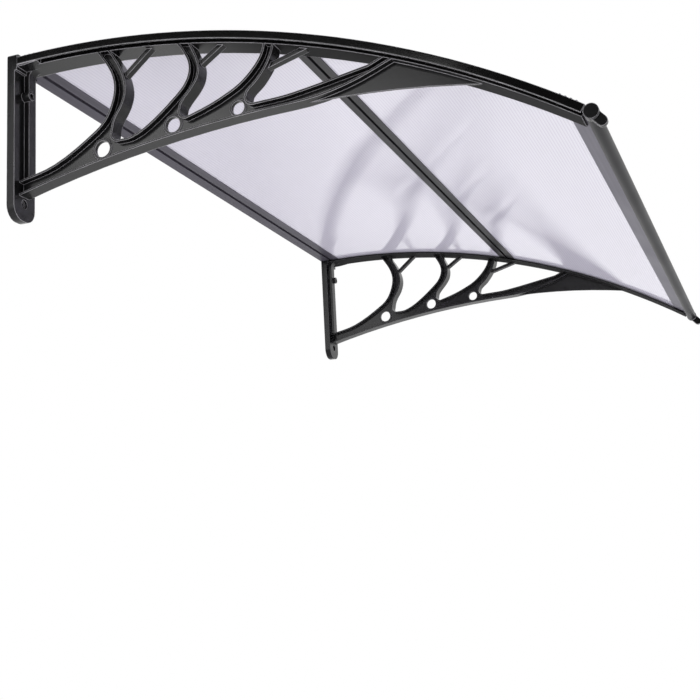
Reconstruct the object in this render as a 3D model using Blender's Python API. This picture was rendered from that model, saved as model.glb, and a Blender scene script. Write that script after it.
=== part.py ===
"""Door canopy: two moulded scroll brackets carry an arched roof of two twin-wall sheets.

Metres, +Z up. The wall is the plane y = 0, the roof reaches out along -Y and X runs along the wall.
The origin is the middle of the rear bar's back face, where that bar lies against the wall.
Outlines are drawn as (out, height) pairs: out is the distance from the wall.
"""

import math

import bmesh
import bpy
from mathutils import Matrix, Vector
from mathutils.geometry import interpolate_bezier

# Whole canopy
WIDTH = 1.200
ROOF_RADIUS = 1.314
APEX_OUT = 0.052
BEAD_OUT = 0.786
CENTRE_BAR_OUT = 0.425

# Clearances
GAP = 0.0003
SHEET_END_GAP = 0.0006

# Rail of the bracket, across its width
FASCIA_DEPTH = 0.0105
FASCIA_WALL = 0.003
OUTER_LANE = 0.021
LANE_STEP = 0.003
LANE_WALL = 0.003
LIP_REACH = 0.041
SLOT_FROM = 0.024
RAIL_FLOOR_WALL = 0.0034
RAIL_FLUSH = 0.0003

# Wall plate
PLATE_WIDTH = 0.0475
PLATE_THICK = 0.012
PLATE_DROP = 0.2247
PLATE_RISE = 0.0103
PLATE_CORNER = 0.020
BLOCK_THICK = 0.0155
BLOCK_HEIGHT = 0.024
BLOCK_CORNER = 0.004
HOLE_UP = 0.0245
HOLE_RADIUS = 0.0035
HOLE_SINK_RADIUS = 0.0065
HOLE_SINK_DEPTH = 0.004
BOSS_DROP = 0.0457
BOSS_OUT = 0.0242
BOSS_RADIUS = 0.0068
BOSS_HOLE = 0.0038
SPINE_WIDTH = 0.0155
SPINE_PROUD = 0.008
SPINE_INSET = 0.0225
SPINE_FILLET = 0.010
RAMP_FLAT = 0.027
RAMP_END = 0.046
RAMP_DEPTH = 0.0012

# Body of the bracket: rims round every opening, a web between them
BODY_INSET = 0.0120
BODY_WIDTH = 0.0225
BODY_SIDE_GAP = 0.0003
RIM = 0.0027
WEB = 0.0035
COLLAR_LENGTH = 0.0065
LOWER_RADIUS = 1.740
LOWER_APEX_OUT = 0.440
LOWER_APEX_DROP = 0.1370
WALL_END_HEIGHT = 0.0210
WALL_END_FLAT = 0.068
CORNER_OVERTURN = 0.12
FLANGE_OUT = 0.415
FLANGE_RADIUS = 0.3075
FLANGE_LEAN = 0.3716
FLANGE_THICK = 0.0104
FLANGE_FOOT_HEIGHT = 0.0142
GUSSET_RADIUS = 1.200
GUSSET_THICK = 0.0028
BRANCH_THICK = 0.006
BRANCH_WIDTH = 0.010

# Lane ribs
RIB_THICK = 0.0022
RIB_RISE = 0.0011
RIB_PITCH = 0.0072
RIB_COUNT = 4
WALL_RIBS_OUT = 0.020
FRONT_RIBS_BACK = 0.0125

# Sheets
SHEET_THICK = 0.005
SHEET_SKIN = 0.0006
FLUTE_PITCH = 0.0058
FLUTE_WALL = 0.0006

# Bars
BAR_SKIN = 0.0012
BAR_LIP = 0.016
BAR_FOOT = 0.0165
BAR_GROOVE = 0.006
BAR_WEB = 0.0015
REAR_TOP_REACH = 0.045
REAR_FOOT_REACH = 0.040
REAR_GROOVE_OUT = 0.0215
FRONT_TOP_REACH = 0.030
FRONT_FOOT_REACH = 0.0336
BEAD_RADIUS = 0.0085
BEAD_BORE = 0.0058

# End caps of the front bar
CAP_RADIUS = 0.0093
CAP_THICK = 0.010
CAP_SPIGOT = 0.014
CAP_TAB_OUT = 0.011
CAP_TAB_DROP = 0.0125
CAP_TAB_RADIUS = 0.0065

# Screws of the centre bar
SCREW_INSET = 0.0345
SCREW_HEAD_RADIUS = 0.0034
SCREW_HEAD_HEIGHT = 0.0020
SCREW_RADIUS = 0.00175
SCREW_TIP_DROP = 0.0070
RECESS_WIDTH = 0.0009
RECESS_LENGTH = 0.0038
RECESS_DEPTH = 0.0009

# Scrolls, from the wall outwards: both edges as (forward of the ring's centre, share of the height
# from there up to the rail), and where the edges and the tight corner's centre lie
SCROLLS = (
    dict(
        ring_out=0.1373, ring_rise=0.0195, hole=0.0113, ring=0.0146,
        back=((-0.0061, 0.174), (0.0125, 0.319), (0.0237, 0.571), (0.0187, 0.770), (-0.0003, 0.990)),
        front=((0.0198, 0.985), (0.0348, 0.796), (0.0418, 0.594), (0.0372, 0.427), (0.0239, 0.251)),
        corner=0.00905, top=(-0.0074, 0.0134), pivot=(0.0284, 0.0143),
        branch=((0.0365, 0.730), (0.0697, 0.964)),
    ),
    dict(
        ring_out=0.2436, ring_rise=0.0184, hole=0.0105, ring=0.0139,
        back=(
            (-0.0578, -0.068), (-0.0322, 0.035), (0.0070, 0.314), (0.0243, 0.501), (0.0293, 0.709),
            (0.0189, 0.930),
        ),
        front=((0.0323, 1.004), (0.0439, 0.739), (0.0427, 0.562), (0.0350, 0.422), (0.0177, 0.221)),
        corner=0.0082, top=(0.0053, 0.0283), pivot=(0.0228, 0.0121),
        branch=((0.0412, 0.7325), (0.0681, 0.957)),
    ),
    dict(
        ring_out=0.3377, ring_rise=0.0154, hole=0.0092, ring=0.0118,
        back=((-0.0440, 0.068), (-0.0223, 0.160), (0.0066, 0.345), (0.0285, 0.620), (0.0397, 0.880)),
        front=((0.0539, 0.865), (0.0452, 0.600), (0.0319, 0.358), (0.0181, 0.195)),
        corner=0.0086, top=(0.0423, 0.0575), pivot=(0.0241, 0.0077),
        branch=((0.0420, 0.612), (0.0882, 0.940)),
    ),
)

# Facets of the curves
WELD_REACH = 0.00005
PER_SPAN = 4
CORNER_STEPS = 5
FLANGE_STEPS = 6
CAP_STEPS = 8
GUSSET_STEPS = 6
LOWER_STEPS = 10
ROOF_STEPS = 10
RAIL_STEPS = 32
PLATE_STEPS = 6
RING_SIDES = 20
BEAD_SIDES = 24
BORE_SIDES = 18
HOLE_SIDES = 16

# Worked out from the sizes above
BAR_TOP = GAP
SHEET_TOP = BAR_TOP + BAR_SKIN + GAP
SHEET_FLOOR = SHEET_TOP + SHEET_THICK
BAR_FLOOR = SHEET_FLOOR + GAP + BAR_SKIN
SLOT_FLOOR = BAR_FLOOR + GAP
RAIL_FLOOR = SLOT_FLOOR + RAIL_FLOOR_WALL
MIDDLE_DROP = SHEET_TOP + SHEET_THICK / 2
APEX_HEIGHT = (BAR_TOP + BAR_FLOOR) / 2 + ROOF_RADIUS - math.sqrt(ROOF_RADIUS**2 - APEX_OUT**2)
ROOF_CENTRE = (APEX_OUT, APEX_HEIGHT - ROOF_RADIUS)
LOWER_CENTRE = (LOWER_APEX_OUT, -LOWER_APEX_DROP - LOWER_RADIUS)
GUSSET_CENTRE = (LOWER_APEX_OUT, RIM / 4 - LOWER_APEX_DROP - GUSSET_RADIUS)
OUTER_X = -WIDTH / 2
SHEET_X = WIDTH / 2 - SLOT_FROM - SHEET_END_GAP
BODY_FROM = OUTER_X + BODY_INSET
BODY_TO = BODY_FROM + BODY_WIDTH
WEB_FROM = (BODY_FROM + BODY_TO - WEB) / 2
WEB_TO = WEB_FROM + WEB
BODY_MIDDLE = (WEB_FROM + WEB_TO) / 2
CUT_OVER = 0.004
RAIL_SINK = (SLOT_FLOOR + RAIL_FLOOR) / 2
GUSSET_SINK = (SLOT_FLOOR + RAIL_SINK) / 2
BRANCH_SINK = (RAIL_SINK + RAIL_FLOOR) / 2
CUT_TOP = SLOT_FLOOR - CUT_OVER
PLATE_SINK = 2 * PLATE_THICK / 3
PLATE_INNER = WIDTH / 2 - PLATE_WIDTH


def clear_scene():
    for thing in list(bpy.data.objects):
        bpy.data.objects.remove(thing)


def new_collection(name):
    collection = bpy.data.collections.new(name)
    bpy.context.scene.collection.children.link(collection)
    return collection


def material(name, colour, roughness, metallic=0.0, alpha=1.0):
    made = bpy.data.materials.new(name)
    made.use_nodes = True
    shader = made.node_tree.nodes["Principled BSDF"]
    shader.inputs["Base Color"].default_value = (*colour, 1.0)
    shader.inputs["Roughness"].default_value = roughness
    shader.inputs["Metallic"].default_value = metallic
    shader.inputs["Alpha"].default_value = alpha
    return made


# The roof's arch and the points on it


def angle_at(out):
    return math.asin((out - APEX_OUT) / ROOF_RADIUS)


def roof_point(out, along=0.0, drop=0.0):
    """The point that lies along (round the arch) from out, and drop below the roof's top line."""
    angle = angle_at(out) + along / ROOF_RADIUS
    radius = ROOF_RADIUS - drop
    return (ROOF_CENTRE[0] + radius * math.sin(angle), ROOF_CENTRE[1] + radius * math.cos(angle))


def under_roof(out, drop):
    """Height of the line at this drop, straight above or below out."""
    radius = ROOF_RADIUS - drop
    return ROOF_CENTRE[1] + math.sqrt(radius**2 - (out - ROOF_CENTRE[0]) ** 2)


def lower_edge(out):
    """Height of the lower rail's bottom edge."""
    return LOWER_CENTRE[1] + math.sqrt(LOWER_RADIUS**2 - (out - LOWER_CENTRE[0]) ** 2)


def roof_run(start, end, drop, steps):
    return [
        (out, under_roof(out, drop))
        for out in (start + (end - start) * i / steps for i in range(steps + 1))
    ]


def arc(centre, radius, start, end, steps):
    """Points round centre. The angle runs from straight down, positive outwards from the wall."""
    angles = [start + (end - start) * i / steps for i in range(steps + 1)]
    return [(centre[0] + radius * math.sin(a), centre[1] - radius * math.cos(a)) for a in angles]


def crossing(centre, radius, drop):
    """The upper place where a circle meets the arch at this drop."""
    roof = Vector(ROOF_CENTRE)
    apart = Vector(centre) - roof
    reach = ROOF_RADIUS - drop
    near = (reach**2 - radius**2 + apart.length_squared) / (2 * apart.length)
    side = math.sqrt(reach**2 - near**2)
    along = apart.normalized()
    across = Vector((along.y, -along.x))
    places = [tuple(roof + along * near + across * side * sign) for sign in (1, -1)]
    return max(places, key=lambda place: place[1])


def smooth_run(points, per_span=PER_SPAN):
    """A smooth line through the points, straight at its two ends."""
    corners = [Vector(point) for point in points]
    line = []
    for i in range(len(corners) - 1):
        here, there = corners[i], corners[i + 1]
        before = corners[i - 1] if i else here
        after = corners[i + 2] if i + 2 < len(corners) else there
        third = (there - here).length / 3
        leave = here + (there - before).normalized() * third
        arrive = there - (after - here).normalized() * third
        steps = [Vector((*corner, 0.0)) for corner in (here, leave, arrive, there)]
        run = interpolate_bezier(*steps, per_span + 1)
        line += [(point.x, point.y) for point in run[:-1]]
    return line + [tuple(corners[-1])]


def grown(outline, distance):
    """The closed outline moved outwards by distance."""
    count = len(outline)
    turn = sum(
        outline[i][0] * outline[(i + 1) % count][1] - outline[(i + 1) % count][0] * outline[i][1]
        for i in range(count)
    )
    moved = []
    for i, point in enumerate(outline):
        back = (Vector(point) - Vector(outline[i - 1])).normalized()
        ahead = (Vector(outline[(i + 1) % count]) - Vector(point)).normalized()
        along = (back + ahead).normalized()
        outward = Vector((along.y, -along.x)) * math.copysign(1.0, turn)
        stretch = 1 / max(0.5, along.dot(ahead))
        moved.append(tuple(Vector(point) + outward * distance * stretch))
    return moved


# Solids


def solid_from_curve(name, outlines, length, matrix, collection):
    """A prism of the filled outlines, made a mesh so that it can be cut and joined."""
    curve = bpy.data.curves.new(name, "CURVE")
    curve.dimensions = "2D"
    curve.fill_mode = "BOTH"
    curve.extrude = length / 2
    for outline in outlines:
        spline = curve.splines.new("POLY")
        spline.points.add(len(outline) - 1)
        for point, (across, up) in zip(spline.points, outline):
            point.co = (across, up, 0.0, 1.0)
        spline.use_cyclic_u = True
    drawn = bpy.data.objects.new(name, curve)
    bpy.context.scene.collection.objects.link(drawn)
    graph = bpy.context.evaluated_depsgraph_get()
    mesh = bpy.data.meshes.new_from_object(drawn.evaluated_get(graph))
    bpy.data.objects.remove(drawn)
    bpy.data.curves.remove(curve)
    shape = bmesh.new()
    shape.from_mesh(mesh)
    bmesh.ops.remove_doubles(shape, verts=shape.verts, dist=1e-6)
    bmesh.ops.transform(shape, matrix=matrix, verts=shape.verts)
    bmesh.ops.recalc_face_normals(shape, faces=shape.faces)
    shape.to_mesh(mesh)
    shape.free()
    mesh.name = name
    made = bpy.data.objects.new(name, mesh)
    collection.objects.link(made)
    return made


def side_prism(name, outlines, x_from, x_to, collection):
    """A prism along X of (out, height) outlines."""
    middle = (x_from + x_to) / 2
    matrix = Matrix(((0, 0, -1, middle), (-1, 0, 0, 0), (0, 1, 0, 0), (0, 0, 0, 1)))
    return solid_from_curve(name, outlines, x_to - x_from, matrix, collection)


def front_prism(name, outline, out_from, out_to, collection):
    """A prism along Y of an (x, height) outline."""
    middle = -(out_from + out_to) / 2
    matrix = Matrix(((1, 0, 0, 0), (0, 0, -1, middle), (0, 1, 0, 0), (0, 0, 0, 1)))
    return solid_from_curve(name, [outline], out_to - out_from, matrix, collection)


def rod(name, radius, start, end, sides, collection):
    """A cylinder between two points."""
    start, end = Vector(start), Vector(end)
    shape = bmesh.new()
    turn = (end - start).to_track_quat("Z", "Y").to_matrix().to_4x4()
    place = Matrix.Translation((start + end) / 2) @ turn
    bmesh.ops.create_cone(
        shape, cap_ends=True, segments=sides, radius1=radius, radius2=radius,
        depth=(end - start).length, matrix=place,
    )
    mesh = bpy.data.meshes.new(name)
    shape.to_mesh(mesh)
    shape.free()
    made = bpy.data.objects.new(name, mesh)
    collection.objects.link(made)
    return made


def cross_rod(name, radius, centre, ends, sides, collection):
    """A cylinder along X round an (out, height) place."""
    out, height = centre
    return rod(name, radius, (ends[0], -out, height), (ends[1], -out, height), sides, collection)


def wall_rod(name, radius, centre, ends, sides, collection):
    """A cylinder square to the wall round an (x, height) place, between two distances out."""
    x, height = centre
    return rod(name, radius, (x, -ends[0], height), (x, -ends[1], height), sides, collection)


def box(name, size, place, collection):
    """A box of this size about the place, a matrix."""
    shape = bmesh.new()
    bmesh.ops.create_cube(shape, size=1.0, matrix=place @ Matrix.Diagonal((*size, 1.0)))
    mesh = bpy.data.meshes.new(name)
    shape.to_mesh(mesh)
    shape.free()
    made = bpy.data.objects.new(name, mesh)
    collection.objects.link(made)
    return made


def combine(target, tool, operation):
    """Cuts or joins tool with a Boolean modifier, and keeps tool as a hidden helper."""
    step = target.modifiers.new(f"{operation.lower()} {tool.name}", "BOOLEAN")
    step.operation = operation
    step.object = tool
    step.solver = "EXACT"
    tool.hide_render = True
    tool.display_type = "WIRE"


def cut(target, *tools):
    for tool in tools:
        combine(target, tool, "DIFFERENCE")


def join(target, *tools):
    for tool in tools:
        combine(target, tool, "UNION")


def weld(thing, name):
    """Closes up corners that Booleans leave a hair apart."""
    step = thing.modifiers.new(name, "WELD")
    step.merge_threshold = WELD_REACH


def finish_mesh(thing, look, angle=0.6):
    thing.data.materials.clear()
    thing.data.materials.append(look)
    thing.data.shade_smooth()
    thing.data.set_sharp_from_angle(angle=angle)


# The bracket's outlines


def ring_centre(scroll):
    return (scroll["ring_out"], lower_edge(scroll["ring_out"]) + scroll["ring_rise"])


def scroll_point(scroll, forward, share):
    """A point of a scroll: forward of its ring's centre, at a share of the height up to the rail."""
    out, height = ring_centre(scroll)
    top = under_roof(out + forward, RAIL_FLOOR)
    return (out + forward, height + share * (top - height))


def above_lower_edge(out, rise):
    return (out, lower_edge(out) + rise)


def top_point(scroll, side):
    """Where one edge of a scroll runs out above the rail's floor: the wall's side (0) or the other (1)."""
    out = scroll["ring_out"] + scroll["top"][side]
    return (out, under_roof(out, CUT_TOP))


def back_of(scroll):
    """The scroll's side that faces the wall, from the sweep over the lower rail up to the roof."""
    return [scroll_point(scroll, *place) for place in scroll["back"]] + [top_point(scroll, 0)]


def front_of(scroll):
    """The scroll's side that faces outwards, from the roof down and round its tight corner."""
    centre = ring_centre(scroll)
    pivot = (centre[0] + scroll["pivot"][0], centre[1] + scroll["pivot"][1])
    round_in = arc(pivot, scroll["corner"], -math.pi / 2, CORNER_OVERTURN, CORNER_STEPS)
    down = [top_point(scroll, 1)] + [scroll_point(scroll, *place) for place in scroll["front"]]
    return down, round_in


def up_to_roof(point, along, drop):
    """Where the line from a point inside the arch meets it at this drop."""
    apart = point - Vector(ROOF_CENTRE)
    near = apart.dot(along)
    return point + along * (math.sqrt(near**2 - apart.length_squared + (ROOF_RADIUS - drop) ** 2) - near)


def flange_run(inset, top_drop):
    """The flange that bends up from the lower rail to the roof, at this distance inside its edge."""
    tilt = math.asin((LOWER_APEX_OUT - FLANGE_OUT) / LOWER_RADIUS)
    rise = lower_edge(FLANGE_OUT) + FLANGE_RADIUS * math.cos(tilt)
    pivot = (FLANGE_OUT - FLANGE_RADIUS * math.sin(tilt), rise)
    bend = arc(pivot, FLANGE_RADIUS - inset, tilt, FLANGE_LEAN, FLANGE_STEPS)
    along = Vector((math.cos(FLANGE_LEAN), math.sin(FLANGE_LEAN)))
    return bend + [tuple(up_to_roof(Vector(bend[-1]), along, top_drop))]


def opening_outlines():
    """The four openings of a bracket, from the wall outwards."""
    start = PLATE_SINK
    floor = [above_lower_edge(out, WALL_END_HEIGHT) for out in (start, WALL_END_FLAT)]
    outlines = [smooth_run(floor + back_of(SCROLLS[0])) + [(start, under_roof(start, CUT_TOP))]]
    for scroll, following in zip(SCROLLS, SCROLLS[1:]):
        down, corner = front_of(scroll)
        upper = smooth_run(down + corner[:1])[:-1]
        lower = smooth_run(corner[-1:] + back_of(following))
        outlines.append(upper + corner[:-1] + lower)
    down, corner = front_of(SCROLLS[-1])
    upper = smooth_run(down + corner[:1])[:-1]
    flange = flange_run(FLANGE_THICK, CUT_TOP)
    lead = smooth_run([corner[-1], above_lower_edge(FLANGE_OUT, FLANGE_FOOT_HEIGHT), flange[-2]])
    outlines.append(upper + corner[:-1] + lead + flange[-1:])
    return outlines


def body_outline(inset, top_drop):
    """Everything below the rail, inset from the lower edge and from the flange that rises to the rail."""
    reach = FLANGE_OUT - PLATE_SINK
    outs = [PLATE_SINK + reach * i / LOWER_STEPS for i in range(LOWER_STEPS)]
    lower = [above_lower_edge(out, inset) for out in outs]
    flange = flange_run(inset, top_drop)
    roof = roof_run(flange[-1][0], PLATE_SINK, top_drop, ROOF_STEPS)
    return lower + flange + roof[1:]


def gusset_outline():
    """The thin web in front of the flange, tapering away under the rail."""
    tip = crossing(GUSSET_CENTRE, GUSSET_RADIUS, GUSSET_SINK)
    reach = math.asin((tip[0] - GUSSET_CENTRE[0]) / GUSSET_RADIUS)
    lower = arc(GUSSET_CENTRE, GUSSET_RADIUS, math.pi, math.pi - reach, GUSSET_STEPS)
    flange = flange_run(RIM / 2, GUSSET_SINK)
    roof = roof_run(tip[0], flange[-1][0], GUSSET_SINK, GUSSET_STEPS)
    return lower[:-1] + roof + flange[-2::-1]


def branch_outline(scroll):
    """A straight rib from a scroll's belly up into the rail's floor."""
    start, end = (Vector(scroll_point(scroll, *place)) for place in scroll["branch"])
    along = (end - start).normalized()
    across = Vector((-along.y, along.x)) * BRANCH_THICK / 2
    sides = (start - across, start + across)
    tops = [up_to_roof(side, along, BRANCH_SINK) for side in sides]
    return [tuple(sides[0]), tuple(tops[0]), tuple(tops[1]), tuple(sides[1])]


def plate_outline():
    """The wall plate seen from the front, round at the bottom."""
    left, right = OUTER_X, OUTER_X + PLATE_WIDTH
    bottom, top = -PLATE_DROP, PLATE_RISE - BLOCK_CORNER
    low_left = (left + PLATE_CORNER, bottom + PLATE_CORNER)
    low_right = (right - PLATE_CORNER, bottom + PLATE_CORNER)
    rounded = arc(low_left, PLATE_CORNER, -math.pi / 2, 0.0, PLATE_STEPS)
    rounded += arc(low_right, PLATE_CORNER, 0.0, math.pi / 2, PLATE_STEPS)
    return rounded + [(right, top), (left, top)]


def block_outline():
    """The thicker head of the wall plate, with round upper corners."""
    left, right = OUTER_X, OUTER_X + PLATE_WIDTH
    bottom, top = PLATE_RISE - BLOCK_HEIGHT, PLATE_RISE
    high_right = (right - BLOCK_CORNER, top - BLOCK_CORNER)
    high_left = (left + BLOCK_CORNER, top - BLOCK_CORNER)
    rounded = arc(high_right, BLOCK_CORNER, math.pi / 2, math.pi, CORNER_STEPS)
    rounded += arc(high_left, BLOCK_CORNER, math.pi, 3 * math.pi / 2, CORNER_STEPS)
    return [(left, bottom), (right, bottom)] + rounded


def spine_outline():
    """The rib down the front of the wall plate, flared into the rail with a round corner."""
    face = PLATE_THICK + SPINE_PROUD
    foot = above_lower_edge(face, WALL_END_HEIGHT - RIM / 2)
    top = under_roof(face + SPINE_FILLET, RAIL_FLOOR)
    pivot = (face + SPINE_FILLET, top - SPINE_FILLET)
    flare = arc(pivot, SPINE_FILLET, -math.pi / 2, -math.pi, CORNER_STEPS)
    head = [(face + SPINE_FILLET, under_roof(face, RAIL_SINK)), (PLATE_SINK, under_roof(face, RAIL_SINK))]
    return [(PLATE_SINK, foot[1]), foot] + flare + head


def ramp_outline():
    """The wedge under the rail beside the wall plate."""
    deep = RAIL_FLOOR + RAMP_DEPTH
    return [
        (PLATE_SINK, under_roof(PLATE_THICK, LANE_WALL / 2)),
        (PLATE_SINK, under_roof(PLATE_THICK, deep)),
        (RAMP_FLAT, under_roof(RAMP_FLAT, deep)),
        (RAMP_END, under_roof(RAMP_END, BRANCH_SINK)),
        (RAMP_END, under_roof(RAMP_END, LANE_WALL / 2)),
    ]


def rail_section():
    """The rail across its width, as (distance in from the outer face, drop) pairs."""
    return [
        (RAIL_FLUSH, 0.0),
        (RAIL_FLUSH, FASCIA_DEPTH),
        (FASCIA_WALL, FASCIA_DEPTH),
        (FASCIA_WALL, LANE_WALL),
        (BODY_INSET - BODY_SIDE_GAP, LANE_WALL),
        (BODY_INSET - BODY_SIDE_GAP, RAIL_FLOOR),
        (PLATE_WIDTH - 2 * RAIL_FLUSH, RAIL_FLOOR),
        (PLATE_WIDTH - 2 * RAIL_FLUSH, SLOT_FLOOR),
        (SLOT_FROM, SLOT_FLOOR),
        (SLOT_FROM, 0.0),
        (LIP_REACH, 0.0),
        (LIP_REACH, -LANE_STEP),
        (OUTER_LANE, -LANE_STEP),
        (OUTER_LANE, 0.0),
    ]


def rail_solid(collection):
    """The rail: its section turned round the centre of the arch, from the plate to the front bead."""
    start = angle_at(PLATE_SINK)
    end = angle_at(BEAD_OUT) - (CAP_RADIUS + 2 * GAP) / ROOF_RADIUS
    shape = bmesh.new()
    loop = []
    for inwards, drop in rail_section():
        out, height = roof_point(PLATE_SINK, 0.0, drop)
        loop.append(shape.verts.new((OUTER_X + inwards, -out, height)))
    first = shape.faces.new(loop)
    bmesh.ops.spin(
        shape, geom=[first, *first.edges, *first.verts], cent=(0.0, -ROOF_CENTRE[0], ROOF_CENTRE[1]),
        axis=(1.0, 0.0, 0.0), angle=end - start, steps=RAIL_STEPS, use_duplicate=False,
    )
    bmesh.ops.remove_doubles(shape, verts=shape.verts, dist=1e-6)
    open_edges = [edge for edge in shape.edges if edge.is_boundary]
    if open_edges:
        bmesh.ops.holes_fill(shape, edges=open_edges, sides=0)
    bmesh.ops.recalc_face_normals(shape, faces=shape.faces)
    mesh = bpy.data.meshes.new("rail")
    shape.to_mesh(mesh)
    shape.free()
    made = bpy.data.objects.new("rail", mesh)
    collection.objects.link(made)
    return made


def lane_rib(name, angle, collection):
    """A low rib across both lanes of the rail, standing on the arch at this angle."""
    steps = [
        (FASCIA_WALL / 2, LANE_WALL / 2),
        (LIP_REACH - FASCIA_WALL / 2, -LANE_STEP / 2),
        (LIP_REACH - FASCIA_WALL / 2, -LANE_STEP - RIB_RISE),
        (OUTER_LANE - RIB_RISE, -LANE_STEP - RIB_RISE),
        (OUTER_LANE - RIB_RISE, -RIB_RISE),
        (FASCIA_WALL / 2, -RIB_RISE),
    ]
    outline = [(OUTER_X + inwards, -drop) for inwards, drop in steps]
    rib = front_prism(name, outline, -RIB_THICK / 2, RIB_THICK / 2, collection)
    out = ROOF_CENTRE[0] + ROOF_RADIUS * math.sin(angle)
    seat = Vector((0.0, -out, under_roof(out, 0.0)))
    rib.data.transform(Matrix.Translation(seat) @ Matrix.Rotation(angle, 4, "X"))
    return rib


def screw_axis():
    """The centre bar screw's foot and direction on the bracket, in (out, height) and world form."""
    angle = angle_at(CENTRE_BAR_OUT)
    up = Vector((0.0, -math.sin(angle), math.cos(angle)))
    out, height = roof_point(CENTRE_BAR_OUT)
    return Vector((OUTER_X + SCREW_INSET, -out, height)), up


def bracket(name, look, parts, cutters):
    openings = opening_outlines()
    over_from, over_to = BODY_FROM - CUT_OVER, BODY_TO + CUT_OVER
    body = side_prism(name, [body_outline(0.0, RAIL_SINK)], BODY_FROM, BODY_TO, parts)
    for i, outline in enumerate(openings):
        cut(body, side_prism(f"opening {i + 1}", [outline], over_from, over_to, cutters))
    collar_from, collar_to = BODY_MIDDLE - COLLAR_LENGTH / 2, BODY_MIDDLE + COLLAR_LENGTH / 2
    sides = (
        ("outer pocket", over_from, WEB_FROM, (collar_from, WEB_TO)),
        ("inner pocket", WEB_TO, over_to, (WEB_FROM, collar_to)),
    )
    for side, x_from, x_to, collar in sides:
        pocket = side_prism(side, [body_outline(RIM, CUT_TOP)], x_from, x_to, cutters)
        ends = (x_from - CUT_OVER, x_to + CUT_OVER)
        for i, outline in enumerate(openings):
            cut(pocket, side_prism(f"{side} rim {i + 1}", [grown(outline, RIM)], *ends, cutters))
        for i, scroll in enumerate(SCROLLS):
            place = ring_centre(scroll)
            cut(pocket, cross_rod(f"{side} ring {i + 1}", scroll["ring"], place, collar, RING_SIDES, cutters))
        cut(body, pocket)
    weld(body, "weld pockets")
    ends = (BODY_MIDDLE - BRANCH_WIDTH / 2, BODY_MIDDLE + BRANCH_WIDTH / 2)
    for i, scroll in enumerate(SCROLLS):
        join(body, side_prism(f"branch {i + 1}", [branch_outline(scroll)], *ends, cutters))
    ends = (BODY_MIDDLE - GUSSET_THICK / 2, BODY_MIDDLE + GUSSET_THICK / 2)
    join(body, side_prism("gusset", [gusset_outline()], *ends, cutters))
    spine_from = OUTER_X + SPINE_INSET
    spine_to = spine_from + SPINE_WIDTH
    ramp_from, ramp_to = OUTER_X + FASCIA_WALL / 2, BODY_MIDDLE
    boss = (spine_from, -BOSS_DROP)
    join(
        body,
        front_prism("plate", plate_outline(), 0.0, PLATE_THICK, cutters),
        front_prism("block", block_outline(), GAP / 3, BLOCK_THICK, cutters),
        side_prism("spine", [spine_outline()], spine_from, spine_to, cutters),
        wall_rod("boss", BOSS_RADIUS, boss, (PLATE_SINK, BOSS_OUT), BORE_SIDES, cutters),
        side_prism("ramp", [ramp_outline()], ramp_from, ramp_to, cutters),
        rail_solid(cutters),
    )
    first = angle_at(WALL_RIBS_OUT)
    last = angle_at(BEAD_OUT) - (FRONT_RIBS_BACK + BEAD_RADIUS) / ROOF_RADIUS
    turn = RIB_PITCH / ROOF_RADIUS
    for i in range(RIB_COUNT):
        join(body, lane_rib(f"wall rib {i + 1}", first + i * turn, cutters))
        join(body, lane_rib(f"front rib {i + 1}", last - i * turn, cutters))
    for i, scroll in enumerate(SCROLLS):
        place, ends = ring_centre(scroll), (over_from, over_to)
        cut(body, cross_rod(f"ring hole {i + 1}", scroll["hole"], place, ends, RING_SIDES, cutters))
    hole = (OUTER_X + PLATE_WIDTH / 2, HOLE_UP - PLATE_DROP)
    sink, front = PLATE_THICK - HOLE_SINK_DEPTH, PLATE_THICK + CUT_OVER
    cut(
        body,
        wall_rod("plate hole", HOLE_RADIUS, hole, (-CUT_OVER, front), HOLE_SIDES, cutters),
        wall_rod("plate hole sink", HOLE_SINK_RADIUS, hole, (sink, front), BORE_SIDES, cutters),
        wall_rod("boss hole", BOSS_HOLE, boss, (-CUT_OVER, BOSS_OUT + CUT_OVER), HOLE_SIDES, cutters),
    )
    foot, up = screw_axis()
    start, end = foot - up * (LANE_WALL / 2), foot + up * (LANE_STEP + CUT_OVER)
    cut(body, rod("screw hole", SCREW_RADIUS + GAP, start, end, HOLE_SIDES, cutters))
    finish_mesh(body, look)
    return body


def mirrored(thing, name, parts):
    """The same piece for the other side."""
    graph = bpy.context.evaluated_depsgraph_get()
    mesh = bpy.data.meshes.new_from_object(thing.evaluated_get(graph))
    mesh.transform(Matrix.Scale(-1.0, 4, (1.0, 0.0, 0.0)))
    mesh.flip_normals()
    mesh.name = name
    made = bpy.data.objects.new(name, mesh)
    parts.objects.link(made)
    return made


# Sheets and bars


def sheet(name, start, end, look, parts):
    """A twin-wall sheet between two places on the arch, each (out, along), with flutes along X."""
    angles = [angle_at(out) + along / ROOF_RADIUS for out, along in (start, end)]
    length = (angles[1] - angles[0]) * ROOF_RADIUS
    count = max(1, int(length // FLUTE_PITCH))
    pitch = (angles[1] - angles[0]) / count
    wall = FLUTE_WALL / 2 / ROOF_RADIUS

    def place(angle, drop):
        radius = ROOF_RADIUS - drop
        return (ROOF_CENTRE[0] + radius * math.sin(angle), ROOF_CENTRE[1] + radius * math.cos(angle))

    joints = [angles[0] + pitch * i for i in range(count + 1)]
    outlines = [[place(a, SHEET_TOP) for a in joints] + [place(a, SHEET_FLOOR) for a in reversed(joints)]]
    high, low = SHEET_TOP + SHEET_SKIN, SHEET_FLOOR - SHEET_SKIN
    for left, right in zip(joints, joints[1:]):
        left += wall if left > joints[0] else 2 * wall
        right -= wall if right < joints[-1] else 2 * wall
        outlines.append([place(left, high), place(right, high), place(right, low), place(left, low)])
    made = side_prism(name, outlines, -SHEET_X, SHEET_X, parts)
    made.data.materials.append(look)
    return made


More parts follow.
